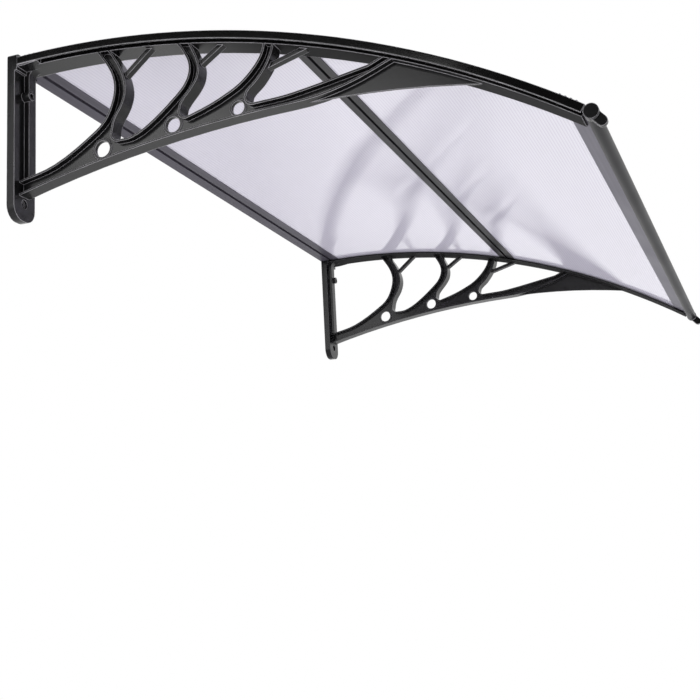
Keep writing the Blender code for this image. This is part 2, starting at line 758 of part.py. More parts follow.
def bar_section(out, steps):
    """Roof points for (along, drop) pairs about one place on the arch."""
    return [roof_point(out, along, drop) for along, drop in steps]


def centre_bar(name, look, parts, cutters):
    """Two channels back to back, with a groove open below between them."""
    half = BAR_GROOVE / 2
    web = half + BAR_WEB
    right = [
        (half, BAR_TOP + BAR_SKIN),
        (half, BAR_FLOOR),
        (BAR_FOOT, BAR_FLOOR),
        (BAR_FOOT, BAR_FLOOR - BAR_SKIN),
        (web, BAR_FLOOR - BAR_SKIN),
        (web, BAR_TOP + BAR_SKIN),
        (BAR_LIP, BAR_TOP + BAR_SKIN),
        (BAR_LIP, BAR_TOP),
    ]
    left = [(-along, drop) for along, drop in reversed(right)]
    section = bar_section(CENTRE_BAR_OUT, right + left)
    made = side_prism(name, [section], -SHEET_X, SHEET_X, parts)
    foot, up = screw_axis()
    for side in (1, -1):
        place = Vector((foot.x * side, foot.y, foot.z))
        start, end = place - up * BAR_FLOOR / 2, place + up * CUT_OVER
        cut(made, rod(f"bar screw hole {side}", SCREW_RADIUS + GAP, start, end, HOLE_SIDES, cutters))
    finish_mesh(made, look)
    return made


def rear_bar(name, look, parts, cutters):
    """The bar along the wall: a chamber, a groove open below and the channel that takes the sheet.

    Its ends reach into the slots of the brackets' rails and are notched round the wall plates' heads.
    """

    def at(out, drop):
        return (out, under_roof(out, drop))

    groove_from = REAR_GROOVE_OUT - BAR_GROOVE / 2
    groove_to = REAR_GROOVE_OUT + BAR_GROOVE / 2
    web = groove_to + BAR_WEB
    outer = [
        at(0.0, BAR_TOP),
        at(REAR_TOP_REACH, BAR_TOP),
        at(REAR_TOP_REACH, BAR_TOP + BAR_SKIN),
        at(web, BAR_TOP + BAR_SKIN),
        at(web, BAR_FLOOR - BAR_SKIN),
        at(REAR_FOOT_REACH, BAR_FLOOR - BAR_SKIN),
        at(REAR_FOOT_REACH, BAR_FLOOR),
        at(groove_to, BAR_FLOOR),
        at(groove_to, BAR_TOP + BAR_SKIN),
        at(groove_from, BAR_TOP + BAR_SKIN),
        at(groove_from, BAR_FLOOR),
        at(0.0, BAR_FLOOR),
    ]
    chamber = [
        at(BAR_WEB, BAR_TOP + BAR_SKIN),
        at(groove_from - BAR_WEB, BAR_TOP + BAR_SKIN),
        at(groove_from - BAR_WEB, BAR_FLOOR - BAR_SKIN),
        at(BAR_WEB, BAR_FLOOR - BAR_SKIN),
    ]
    made = side_prism(name, [outer, chamber], -SHEET_X, SHEET_X, parts)
    width = 2 * (SLOT_FROM + PLATE_WIDTH)
    depth = 2 * (BLOCK_THICK + GAP)
    for side in (1, -1):
        centre = ((PLATE_INNER - GAP + width / 2) * side, 0.0, 0.0)
        cut(made, box(f"notch {side}", (width, depth, BLOCK_HEIGHT), Matrix.Translation(centre), cutters))
    finish_mesh(made, look)
    return made


def front_bar(name, look, parts, cutters):
    """The front bar: the sheet's channel, and a round hollow bead along its front."""
    bead = roof_point(BEAD_OUT, 0.0, MIDDLE_DROP)
    wall = BEAD_RADIUS + BAR_WEB / 2
    steps = [
        (-FRONT_TOP_REACH, BAR_TOP),
        (-BEAD_BORE - GAP, BAR_TOP),
        (-BEAD_BORE - GAP, BAR_FLOOR),
        (-FRONT_FOOT_REACH, BAR_FLOOR),
        (-FRONT_FOOT_REACH, BAR_FLOOR - BAR_SKIN),
        (-wall, BAR_FLOOR - BAR_SKIN),
        (-wall, BAR_TOP + BAR_SKIN),
        (-FRONT_TOP_REACH, BAR_TOP + BAR_SKIN),
    ]
    made = side_prism(name, [bar_section(BEAD_OUT, steps)], -SHEET_X, SHEET_X, parts)
    end = WIDTH / 2 - CAP_THICK - GAP
    reach = end + CUT_OVER
    join(made, cross_rod("bead", BEAD_RADIUS, bead, (-end, end), BEAD_SIDES, cutters))
    cut(made, cross_rod("bead bore", BEAD_BORE, bead, (-reach, reach), BORE_SIDES, cutters))
    finish_mesh(made, look)
    return made


def end_cap(name, look, parts, cutters):
    """A round plug flush with the bracket, with a spigot in the bead and a tab that hangs down in front."""
    bead = roof_point(BEAD_OUT, 0.0, MIDDLE_DROP)
    inner = OUTER_X + CAP_THICK
    made = cross_rod(name, CAP_RADIUS, bead, (OUTER_X, inner), BEAD_SIDES, parts)
    ends = (inner - CUT_OVER, inner + CAP_SPIGOT)
    join(made, cross_rod("spigot", BEAD_BORE - 2 * GAP, bead, ends, BORE_SIDES, cutters))
    lean = math.atan2(CAP_TAB_OUT, CAP_TAB_DROP)
    far = (bead[0] + CAP_TAB_OUT, bead[1] - CAP_TAB_DROP)
    tab = arc(far, CAP_TAB_RADIUS, lean - math.pi / 2, lean + math.pi / 2, CAP_STEPS)
    tab += arc(bead, CAP_TAB_RADIUS, lean + math.pi / 2, lean + 3 * math.pi / 2, CORNER_STEPS)
    join(made, side_prism("tab", [tab], OUTER_X + FASCIA_WALL, inner - FASCIA_WALL / 3, cutters))
    finish_mesh(made, look)
    return made


def screw(name, look, parts, cutters):
    """A pan head screw with a cross recess, through the bracket's lip and the centre bar's top."""
    foot, up = screw_axis()
    seat = foot + up * (LANE_STEP + GAP)
    head = seat + up * SCREW_HEAD_HEIGHT
    made = rod(name, SCREW_HEAD_RADIUS, seat, head, BORE_SIDES, parts)
    tip = foot - up * SCREW_TIP_DROP
    join(made, rod("shank", SCREW_RADIUS, tip, (seat + head) / 2, HOLE_SIDES, cutters))
    place = Matrix.Translation(head) @ up.to_track_quat("Z", "Y").to_matrix().to_4x4()
    depth = 2 * RECESS_DEPTH
    cut(
        made,
        box("recess along", (RECESS_LENGTH, RECESS_WIDTH, depth), place, cutters),
        box("recess across", (RECESS_WIDTH, RECESS_LENGTH, depth), place, cutters),
    )
    finish_mesh(made, look)
    return made


def build():
    clear_scene()
    parts = new_collection("door canopy")
    cutters = new_collection("cutters")
    plastic = material("bracket plastic", (0.012, 0.012, 0.014), 0.42)
    aluminium = material("dark aluminium", (0.065, 0.060, 0.068), 0.38, metallic=0.6)
    clear = material("twin-wall polycarbonate", (0.80, 0.78, 0.86), 0.22, alpha=0.75)
    steel = material("screw steel", (0.62, 0.62, 0.63), 0.28, metallic=1.0)
    left = bracket("bracket_left", plastic, parts, cutters)
    mirrored(left, "bracket_right", parts)
    rear_bar("rear_bar", aluminium, parts, cutters)
    centre_bar("centre_bar", aluminium, parts, cutters)
    front_bar("front_bar", aluminium, parts, cutters)
    web = BAR_GROOVE / 2 + BAR_WEB + SHEET_END_GAP
    rear_web = REAR_GROOVE_OUT + web
    front_wall = BEAD_RADIUS + BAR_WEB / 2 + SHEET_END_GAP
    sheet("rear_sheet", (rear_web, 0.0), (CENTRE_BAR_OUT, -web), clear, parts)
    sheet("front_sheet", (CENTRE_BAR_OUT, web), (BEAD_OUT, -front_wall), clear, parts)
    cap = end_cap("front_cap_left", plastic, parts, cutters)
    mirrored(cap, "front_cap_right", parts)
    fixing = screw("centre_screw_left", steel, parts, cutters)
    mirrored(fixing, "centre_screw_right", parts)


build()
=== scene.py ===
"""Finishes, smooth shading, floor, light and camera for the wall-hung door canopy."""

import math

import bpy
from mathutils import Matrix, Vector


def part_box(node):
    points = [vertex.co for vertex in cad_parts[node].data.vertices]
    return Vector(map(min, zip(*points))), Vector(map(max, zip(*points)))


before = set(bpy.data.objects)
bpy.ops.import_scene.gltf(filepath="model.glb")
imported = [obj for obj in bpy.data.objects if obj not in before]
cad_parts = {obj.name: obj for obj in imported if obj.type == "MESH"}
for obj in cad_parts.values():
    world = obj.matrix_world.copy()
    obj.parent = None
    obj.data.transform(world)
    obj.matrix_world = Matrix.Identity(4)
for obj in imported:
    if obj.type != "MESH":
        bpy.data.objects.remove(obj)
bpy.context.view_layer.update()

# Sizes of the solids: the roof's arch, how far the sheets lie under it, the flutes, the wall plate's
# front, how deep the rail's outer band and its floor lie under the arch, and where the bead begins
ROOF_RADIUS = 1.314
APEX_OUT = 0.052
SHEET_SUNK = 0.0018
FLUTE_PITCH = 0.0058
PLATE_FRONT = 0.0160
BAND_DEPTH = 0.0112
FLOOR_DEPTH = 0.0135
BEAD_FROM = 0.7765

# Where the picture is taken from
EYE = Vector((-1.9111, -0.9619, -0.7434))
LOOK = Vector((0.9203, 0.3376, 0.1977))
RIGHT = Vector((0.3534, -0.9341, -0.0500))
LENS = 62.62
SENSOR = 36.0
NEAREST = 0.01
FURTHEST = 60.0

# Studio
FLOOR_DROP = 2.05
FLOOR_SIZE = 14.0
BACKDROP_LEVEL = 1.0
STUDIO_LEVEL = 1.15
FLAG_LEVEL = 0.05
FLAG_LOWERED = 0.2
SIDE_SOFTBOX = {
    "place": (-3.0, 0.72, 0.33),
    "aim": (-0.6, -0.3, -0.15),
    "size": (1.4, 1.45),
    "power": 28.0,
}
ROOF_SOFTBOX = {
    "place": (0.2, -0.2, 2.8),
    "aim": (0.0, -0.4, 0.0),
    "size": (2.6, 2.0),
    "power": 28.0,
}

# Smooth shading: how near corners have to be to be joined, and how far a soft edge may turn, in radians
MERGE_REACH = 0.00001
SMOOTH_TURN = 0.50

# Scuffing and painted highlight: an edge is scuffed and painted bright where the cosine between its
# rounded and flat normals falls below the first number that follows
RUB_HIGHLIGHT_FROM = 0.96
RUB_HIGHLIGHT_GROWTH = 6.0
EDGE_SAMPLES = 10

# Black plastic
PLASTIC_DARK = (0.0060, 0.0060, 0.0065)
PLASTIC_LIGHT = (0.0130, 0.0128, 0.0140)
# Painted shade: the rail's polished outer band is painted darker than the rest of the plastic
PLASTIC_POLISHED_SHADE = (0.003, 0.003, 0.003)
# Painted highlight: edges are scuffed and painted this bright grey
PLASTIC_RUB_HIGHLIGHT = (0.64, 0.62, 0.67)
PLASTIC_DUST = (0.36, 0.35, 0.35)
PLASTIC_DUST_SHARE = 0.06
PLASTIC_ROUGH = 0.14
PLASTIC_FLOW_ROUGH = 0.14
PLASTIC_DUST_ROUGH = 0.12
POLISH_SMOOTHS = 0.55
MATT_ROUGH = 0.85
MATT_BEGINS_OUT = 0.15
MATT_FULL_OUT = 0.40
CAP_SHADE = 0.6

# Coated aluminium: a bar's coat is the colour of its dark and of its light streaks
REAR_BAR_COAT = ((0.062, 0.057, 0.076), (0.100, 0.092, 0.120))
# Painted shade: the centre bar's coat is the same as the others, painted darker
CENTRE_BAR_SHADED_COAT = ((0.010, 0.009, 0.012), (0.022, 0.020, 0.026))
# Painted light: the front bar's coat is painted lighter
FRONT_BAR_LIT_COAT = ((0.105, 0.098, 0.130), (0.150, 0.142, 0.180))
# Painted shade: the front bar's bead is painted near black
BEAD_PAINTED_SHADE = (0.012, 0.011, 0.014)
# Painted highlight: the bars' edges are scuffed and painted this bright grey
BAR_RUB_HIGHLIGHT = (0.30, 0.29, 0.31)
BAR_RUB_HIGHLIGHT_SHARE = 0.6
BAR_DUST = (0.42, 0.41, 0.40)
BAR_DUST_SHARE = 0.12
BAR_ROUGH = 0.34
BAR_PATCH_ROUGH = 0.16
BAR_PATCH_SCALE = 9.0

# Clear sheet
SHEET_DARK = (0.75, 0.725, 0.825)
SHEET_LIGHT = (0.79, 0.765, 0.86)
SHEET_WALL = (0.38, 0.36, 0.45)
SHEET_WALL_SHARE = 0.85
SHEET_DUST = (0.62, 0.61, 0.60)
SHEET_DUST_SHARE = 0.05
SHEET_ROUGH = 0.04
SHEET_HAZE_ROUGH = 0.06
SHEET_HAZE_SCALE = 7.0
SHEET_OPAQUE = 0.66
WALL_OPAQUE = 0.25
DAYLIGHT_THROUGH = 0.15

# Zinc of the screws, and paper of the floor
ZINC_DARK = (0.55, 0.55, 0.57)
ZINC_LIGHT = (0.72, 0.71, 0.70)
# Painted highlight: the screws' edges are scuffed and painted this bright
ZINC_RUB_HIGHLIGHT = (0.85, 0.85, 0.85)
ZINC_ROUGH = 0.15
ZINC_FLOW_ROUGH = 0.25
PAPER_DARK = (0.86, 0.86, 0.86)
PAPER_LIGHT = (0.90, 0.90, 0.90)
PAPER_CLOUD_SCALE = 0.6

# Socket kinds, and where a mix node keeps its share and its number and colour sockets
FLOAT = "NodeSocketFloat"
VECTOR = "NodeSocketVector"
GEOMETRY = "NodeSocketGeometry"
MIX_SHARE = 0
MIX_NUMBERS = (2, 3)
MIX_COLOURS = (6, 7)
MIXED_NUMBER = 0
MIXED_COLOUR = 2


# Node helpers


def put(tree, kind, **settings):
    """Adds a node and sets its properties, and in values= those of its inputs, by name."""
    node = tree.nodes.new(kind)
    values = settings.pop("values", {})
    for name, value in settings.items():
        setattr(node, name, value)
    for name, value in values.items():
        node.inputs[name].default_value = value
    return node


def wire(tree, source, target):
    tree.links.new(source, target)


def feed(tree, value, socket):
    """Wires a socket to another one, or gives it a plain number or colour."""
    if isinstance(value, tuple):
        socket.default_value = (*value, 1.0)
    elif isinstance(value, (int, float)):
        socket.default_value = value
    else:
        wire(tree, value, socket)


def math_node(tree, operation, *values, clamp=False):
    """Works out one number from up to three, each a socket or a plain number."""
    node = put(tree, "ShaderNodeMath", operation=operation, use_clamp=clamp)
    for socket, value in zip(node.inputs, values):
        feed(tree, value, socket)
    return node.outputs[0]


def ramp(tree, source, stops):
    """A grey ramp of (place, grey) stops."""
    node = put(tree, "ShaderNodeValToRGB")
    band = node.color_ramp
    while len(band.elements) < len(stops):
        band.elements.new(0.5)
    for element, (place, grey) in zip(band.elements, stops):
        element.position = place
        element.color = (grey, grey, grey, 1.0)
    wire(tree, source, node.inputs["Fac"])
    return node.outputs["Color"]


def blend_colour(tree, share, first, second):
    """Mixes two colours by a share; each is a socket or a plain colour."""
    node = put(tree, "ShaderNodeMix", data_type="RGBA")
    feed(tree, share, node.inputs[MIX_SHARE])
    for place, value in zip(MIX_COLOURS, (first, second)):
        feed(tree, value, node.inputs[place])
    return node.outputs[MIXED_COLOUR]


def object_place(tree):
    return put(tree, "ShaderNodeTexCoord").outputs["Object"]


def split(tree, vector):
    node = put(tree, "ShaderNodeSeparateXYZ")
    wire(tree, vector, node.inputs[0])
    return node.outputs


def stretch(tree, place, scale):
    node = put(tree, "ShaderNodeMapping", values={"Scale": scale})
    wire(tree, place, node.inputs["Vector"])
    return node.outputs[0]


def noise(tree, place, scale, **values):
    """Cloudy noise at a place. The scale is a socket or a plain number."""
    node = put(tree, "ShaderNodeTexNoise", values=values)
    wire(tree, place, node.inputs["Vector"])
    feed(tree, scale, node.inputs["Scale"])
    return node.outputs["Fac"]


def from_arch_centre(tree, place, arch_centre_height):
    """How far a place lies out from the arch's centre, and how far above it."""
    outward = math_node(tree, "ADD", place["Y"], APEX_OUT)
    rise = math_node(tree, "SUBTRACT", place["Z"], arch_centre_height)
    return outward, rise


def new_group(name, inputs, outputs):
    """An empty node group with float inputs (name, value) and named outputs of a socket type."""
    tree = bpy.data.node_groups.new(name, "ShaderNodeTree")
    for label, value in inputs:
        socket = tree.interface.new_socket(label, in_out="INPUT", socket_type=FLOAT)
        socket.default_value = value
    for label, kind in outputs:
        tree.interface.new_socket(label, in_out="OUTPUT", socket_type=kind)
    start = tree.nodes.new("NodeGroupInput")
    end = tree.nodes.new("NodeGroupOutput")
    return tree, start.outputs, end.inputs


def use_group(tree, group, **values):
    node = put(tree, "ShaderNodeGroup")
    node.node_tree = group
    for name, value in values.items():
        node.inputs[name.replace("_", " ")].default_value = value
    return node.outputs


# Effects that several finishes share


def moulded_grain():
    """Fine pebble of a spark-eroded mould, and slow flow marks over it."""
    tree, given, result = new_group(
        "moulded grain",
        [("Pebble Scale", 900.0), ("Flow Scale", 14.0)],
        [("Pebble", FLOAT), ("Flow", FLOAT)],
    )
    place = object_place(tree)
    pebble = put(tree, "ShaderNodeTexVoronoi", feature="SMOOTH_F1")
    wire(tree, place, pebble.inputs["Vector"])
    wire(tree, given["Pebble Scale"], pebble.inputs["Scale"])
    wire(tree, pebble.outputs["Distance"], result["Pebble"])
    drawn_out = stretch(tree, place, (1.0, 0.35, 1.0))
    flow = noise(tree, drawn_out, given["Flow Scale"], Detail=4.0, Roughness=0.6, Distortion=0.8)
    wire(tree, flow, result["Flow"])
    return tree


def rubbed_and_highlit_edges():
    """Where an edge is scuffed and painted bright as a highlight, broken up so that it isn't an even
    line.
    """
    tree, given, result = new_group(
        "scuffed and highlit edges",
        [("Reach", 0.0012), ("Patch Scale", 60.0)],
        [("Scuff And Highlight", FLOAT), ("Round Normal", VECTOR)],
    )
    rounded = put(tree, "ShaderNodeBevel", samples=EDGE_SAMPLES)
    wire(tree, given["Reach"], rounded.inputs["Radius"])
    flat = put(tree, "ShaderNodeNewGeometry").outputs["Normal"]
    likeness = put(tree, "ShaderNodeVectorMath", operation="DOT_PRODUCT")
    wire(tree, rounded.outputs["Normal"], likeness.inputs[0])
    wire(tree, flat, likeness.inputs[1])
    turned = math_node(tree, "SUBTRACT", RUB_HIGHLIGHT_FROM, likeness.outputs["Value"], clamp=True)
    sharp = math_node(tree, "MULTIPLY", turned, RUB_HIGHLIGHT_GROWTH, clamp=True)
    patches = noise(tree, object_place(tree), given["Patch Scale"], Detail=2.0, Roughness=0.5)
    broken = ramp(tree, patches, [(0.30, 0.55), (0.62, 1.0)])
    wire(tree, math_node(tree, "MULTIPLY", sharp, broken), result["Scuff And Highlight"])
    wire(tree, rounded.outputs["Normal"], result["Round Normal"])
    return tree


def fallen_dust():
    """Dust that settles on what faces up, and a little that hangs elsewhere."""
    tree, given, result = new_group("dust", [("Patch Scale", 22.0)], [("Dust", FLOAT)])
    normal = split(tree, put(tree, "ShaderNodeNewGeometry").outputs["Normal"])
    facing_up = ramp(tree, normal["Z"], [(0.2, 0.12), (0.9, 1.0)])
    patches = noise(tree, object_place(tree), given["Patch Scale"], Detail=6.0, Roughness=0.7)
    patchy = ramp(tree, patches, [(0.42, 0.0), (0.75, 1.0)])
    wire(tree, math_node(tree, "MULTIPLY", facing_up, patchy), result["Dust"])
    return tree


def die_lines():
    """Die lines along a drawn bar, which runs along X, and uneven patches of its coat."""
    tree, given, result = new_group(
        "die lines", [("Line Scale", 420.0)], [("Lines", FLOAT), ("Patches", FLOAT)]
    )
    place = object_place(tree)
    along_bar = stretch(tree, place, (0.004, 1.0, 1.0))
    lines = noise(tree, along_bar, given["Line Scale"], Detail=3.0, Roughness=0.7)
    wire(tree, lines, result["Lines"])
    wire(tree, noise(tree, place, BAR_PATCH_SCALE, Detail=3.0), result["Patches"])
    return tree


def sheet_flutes(arch_centre_height):
    """Thin walls between a twin-wall sheet's flutes, set out along the roof's arch."""
    tree, given, result = new_group(
        "sheet flutes",
        [("Pitch", FLUTE_PITCH)],
        [("Wall", FLOAT), ("Ridge", FLOAT), ("Haze", FLOAT)],
    )
    place = object_place(tree)
    outward, rise = from_arch_centre(tree, split(tree, place), arch_centre_height)
    angle = math_node(tree, "ARCTAN2", outward, rise)
    along = math_node(tree, "MULTIPLY", angle, ROOF_RADIUS)
    turns = math_node(tree, "DIVIDE", along, given["Pitch"])
    part = math_node(tree, "FRACT", turns)
    from_middle = math_node(tree, "ABSOLUTE", math_node(tree, "SUBTRACT", part, 0.5))
    wire(tree, ramp(tree, from_middle, [(0.0, 1.0), (0.07, 0.75), (0.2, 0.0)]), result["Wall"])
    wave = math_node(tree, "COSINE", math_node(tree, "MULTIPLY", turns, 2 * math.pi))
    wire(tree, wave, result["Ridge"])
    along_flutes = stretch(tree, place, (0.25, 1.0, 1.0))
    wire(tree, noise(tree, along_flutes, SHEET_HAZE_SCALE, Detail=4.0), result["Haze"])
    return tree


def shaded_polished_rail(arch_centre_height):
    """Where the rail's outer band was polished in its mould and is painted darker as shade, and where
    its floor was left matt.
    """
    tree, given, result = new_group(
        "rail with shaded polish",
        [("Band Depth", BAND_DEPTH), ("Floor Depth", FLOOR_DEPTH)],
        [("Shaded Polish", FLOAT), ("Matt", FLOAT)],
    )
    place = split(tree, object_place(tree))
    outward, rise = from_arch_centre(tree, place, arch_centre_height)
    square = math_node(tree, "MULTIPLY_ADD", outward, outward, math_node(tree, "MULTIPLY", rise, rise))
    under_arch = math_node(tree, "SUBTRACT", ROOF_RADIUS, math_node(tree, "SQRT", square))
    band = math_node(tree, "LESS_THAN", under_arch, given["Band Depth"])
    clear_of_plate = math_node(tree, "LESS_THAN", place["Y"], -PLATE_FRONT)
    wire(tree, math_node(tree, "MULTIPLY", band, clear_of_plate), result["Shaded Polish"])
    above_floor = math_node(tree, "LESS_THAN", under_arch, given["Floor Depth"])
    floor = math_node(tree, "SUBTRACT", above_floor, band, clamp=True)
    forward = math_node(tree, "MULTIPLY", place["Y"], -1.0)
    front_half = ramp(tree, forward, [(MATT_BEGINS_OUT, 0.0), (MATT_FULL_OUT, 1.0)])
    right_rail = math_node(tree, "GREATER_THAN", place["X"], 0.0)
    where = math_node(tree, "MAXIMUM", front_half, right_rail)
    wire(tree, math_node(tree, "MULTIPLY", floor, where), result["Matt"])
    return tree


# Finishes


def new_finish(name):
    finish = bpy.data.materials.new(name)
    finish.use_nodes = True
    return finish, finish.node_tree, finish.node_tree.nodes["Principled BSDF"]


def black_plastic(name, effects, on_rail=True, shade=1.0, reach=0.0020, wear_and_highlight=1.0, shine=0.30):
    """Black moulded plastic: satin, faintly mottled, greyed where dust lies, with edges scuffed and
    painted bright as highlights, and on a rail its polished outer band painted darker as shade.
    """
    finish, tree, shader = new_finish(name)
    edge_rub_and_highlight = use_group(tree, effects["rub_and_highlight"], Reach=reach, Patch_Scale=28.0)
    skin = use_group(tree, effects["grain"], Pebble_Scale=950.0, Flow_Scale=11.0)
    dust = use_group(tree, effects["dust"], Patch_Scale=26.0)["Dust"]
    dark = tuple(part * shade for part in PLASTIC_DARK)
    light = tuple(part * shade for part in PLASTIC_LIGHT)
    base = blend_colour(tree, skin["Flow"], dark, light)
    rough = math_node(tree, "MULTIPLY_ADD", skin["Flow"], PLASTIC_FLOW_ROUGH, PLASTIC_ROUGH)
    rough = math_node(tree, "ADD", rough, math_node(tree, "MULTIPLY", dust, PLASTIC_DUST_ROUGH))
    if on_rail:
        rail = use_group(tree, effects["rail"])
        # Painted shade: the polished outer band is painted darker
        base = blend_colour(tree, rail["Shaded Polish"], base, PLASTIC_POLISHED_SHADE)
        smoother = math_node(tree, "MULTIPLY_ADD", rail["Shaded Polish"], -POLISH_SMOOTHS, 1.0)
        rough = math_node(tree, "MULTIPLY", rough, smoother)
        matt = math_node(tree, "MULTIPLY", rail["Matt"], MATT_ROUGH)
        rough = math_node(tree, "MAXIMUM", rough, matt)
    # Painted highlight: edges are scuffed and painted bright
    rub_and_highlight = math_node(tree, "MULTIPLY", edge_rub_and_highlight["Scuff And Highlight"], wear_and_highlight)
    rubbed_and_highlit = blend_colour(tree, rub_and_highlight, base, PLASTIC_RUB_HIGHLIGHT)
    dusty = math_node(tree, "MULTIPLY", dust, PLASTIC_DUST_SHARE)
    wire(tree, blend_colour(tree, dusty, rubbed_and_highlit, PLASTIC_DUST), shader.inputs["Base Color"])
    wire(tree, rough, shader.inputs["Roughness"])
    bump = put(tree, "ShaderNodeBump", values={"Strength": 0.04, "Distance": 0.0002})
    wire(tree, skin["Pebble"], bump.inputs["Height"])
    wire(tree, edge_rub_and_highlight["Round Normal"], bump.inputs["Normal"])
    wire(tree, bump.outputs["Normal"], shader.inputs["Normal"])
    shader.inputs["Specular IOR Level"].default_value = shine
    return finish


def coated_bar(name, effects, coat, bead=False):
    """Dark coated aluminium with die lines along the bar and edges scuffed and painted bright as
    highlights. A bead along its front is painted darker, as shade.
    """
    finish, tree, shader = new_finish(name)
    edge_rub_and_highlight = use_group(tree, effects["rub_and_highlight"], Reach=0.0009, Patch_Scale=90.0)
    drawn = use_group(tree, effects["lines"], Line_Scale=460.0)
    dust = use_group(tree, effects["dust"], Patch_Scale=18.0)["Dust"]
    streaks = ramp(tree, drawn["Lines"], [(0.3, 0.0), (0.7, 1.0)])
    base = blend_colour(tree, streaks, *coat)
    # Painted shade: the bead is painted near black
    if bead:
        on_bead = math_node(tree, "LESS_THAN", split(tree, object_place(tree))["Y"], -BEAD_FROM)
        base = blend_colour(tree, on_bead, base, BEAD_PAINTED_SHADE)
    # Painted highlight: edges are scuffed and painted bright
    rub_and_highlight = math_node(tree, "MULTIPLY", edge_rub_and_highlight["Scuff And Highlight"], BAR_RUB_HIGHLIGHT_SHARE)
    rubbed_and_highlit = blend_colour(tree, rub_and_highlight, base, BAR_RUB_HIGHLIGHT)
    dusty = math_node(tree, "MULTIPLY", dust, BAR_DUST_SHARE)
    wire(tree, blend_colour(tree, dusty, rubbed_and_highlit, BAR_DUST), shader.inputs["Base Color"])
    rough = math_node(tree, "MULTIPLY_ADD", drawn["Patches"], BAR_PATCH_ROUGH, BAR_ROUGH)
    wire(tree, rough, shader.inputs["Roughness"])
    shader.inputs["Metallic"].default_value = 0.05
    shader.inputs["Specular IOR Level"].default_value = 0.16
    bump = put(tree, "ShaderNodeBump", values={"Strength": 0.12, "Distance": 0.0001})
    wire(tree, drawn["Lines"], bump.inputs["Height"])
    wire(tree, bump.outputs["Normal"], shader.inputs["Normal"])
    return finish


def clear_sheet(name, effects):
    """Clear twin-wall polycarbonate: pale, glossy, with the flutes' walls showing through its skin."""
    finish, tree, shader = new_finish(name)
    ribs = use_group(tree, effects["flutes"], Pitch=FLUTE_PITCH)
    dust = use_group(tree, effects["dust"], Patch_Scale=9.0)["Dust"]
    skin = blend_colour(tree, ribs["Haze"], SHEET_DARK, SHEET_LIGHT)
    walls = math_node(tree, "MULTIPLY", ribs["Wall"], SHEET_WALL_SHARE)
    ribbed = blend_colour(tree, walls, skin, SHEET_WALL)
    dusty = math_node(tree, "MULTIPLY", dust, SHEET_DUST_SHARE)
    wire(tree, blend_colour(tree, dusty, ribbed, SHEET_DUST), shader.inputs["Base Color"])
    rough = math_node(tree, "MULTIPLY_ADD", ribs["Haze"], SHEET_HAZE_ROUGH, SHEET_ROUGH)
    wire(tree, rough, shader.inputs["Roughness"])
    opaque = math_node(tree, "MULTIPLY_ADD", ribs["Wall"], WALL_OPAQUE, SHEET_OPAQUE)
    wire(tree, opaque, shader.inputs["Alpha"])
    wire(tree, ribbed, shader.inputs["Emission Color"])
    shader.inputs["Emission Strength"].default_value = DAYLIGHT_THROUGH
    shader.inputs["IOR"].default_value = 3.0
    shader.inputs["Specular IOR Level"].default_value = 0.5
    bump = put(tree, "ShaderNodeBump", values={"Strength": 0.26, "Distance": 0.0002})
    wire(tree, ribs["Ridge"], bump.inputs["Height"])
    wire(tree, bump.outputs["Normal"], shader.inputs["Normal"])
    return finish


def zinc_steel(name, effects):
    """Bright zinc of a small screw."""
    finish, tree, shader = new_finish(name)
    edge_rub_and_highlight = use_group(tree, effects["rub_and_highlight"], Reach=0.0003, Patch_Scale=400.0)
    skin = use_group(tree, effects["grain"], Pebble_Scale=1800.0, Flow_Scale=300.0)
    base = blend_colour(tree, skin["Flow"], ZINC_DARK, ZINC_LIGHT)
    # Painted highlight: edges are scuffed and painted bright
    wire(tree, blend_colour(tree, edge_rub_and_highlight["Scuff And Highlight"], base, ZINC_RUB_HIGHLIGHT), shader.inputs["Base Color"])
    rough = math_node(tree, "MULTIPLY_ADD", skin["Flow"], ZINC_FLOW_ROUGH, ZINC_ROUGH)
    wire(tree, rough, shader.inputs["Roughness"])
    shader.inputs["Metallic"].default_value = 1.0
    return finish


def floor_paper(name):
    """Plain pale paper, with a faint unevenness."""
    finish, tree, shader = new_finish(name)
    cloud = noise(tree, object_place(tree), PAPER_CLOUD_SCALE, Detail=2.0)
    wire(tree, blend_colour(tree, cloud, PAPER_DARK, PAPER_LIGHT), shader.inputs["Base Color"])
    shader.inputs["Roughness"].default_value = 0.9
    shader.inputs["Specular IOR Level"].default_value = 0.1
    return finish


# Pieces


def smooth_faces():
    """Joins split corners and shades smoothly across every edge that hardly turns."""
    tree = bpy.data.node_groups.new("smooth moulded faces", "GeometryNodeTree")
    tree.is_modifier = True
    for way in ("INPUT", "OUTPUT"):
        tree.interface.new_socket("Geometry", in_out=way, socket_type=GEOMETRY)
    start = tree.nodes.new("NodeGroupInput")
    end = tree.nodes.new("NodeGroupOutput")
    merged = put(tree, "GeometryNodeMergeByDistance", values={"Distance": MERGE_REACH})
    wire(tree, start.outputs[0], merged.inputs["Geometry"])
    faces = put(tree, "GeometryNodeSetShadeSmooth", domain="FACE", values={"Shade Smooth": True})
    wire(tree, merged.outputs["Geometry"], faces.inputs["Geometry"])
    turn = put(tree, "GeometryNodeInputMeshEdgeAngle")
    soft = put(tree, "FunctionNodeCompare", data_type="FLOAT", operation="LESS_THAN")
    wire(tree, turn.outputs["Unsigned Angle"], soft.inputs["A"])
    soft.inputs["B"].default_value = SMOOTH_TURN
    edges = put(tree, "GeometryNodeSetShadeSmooth", domain="EDGE")
    wire(tree, faces.outputs["Geometry"], edges.inputs["Geometry"])
    wire(tree, soft.outputs["Result"], edges.inputs["Shade Smooth"])
    wire(tree, edges.outputs["Geometry"], end.inputs[0])
    return tree


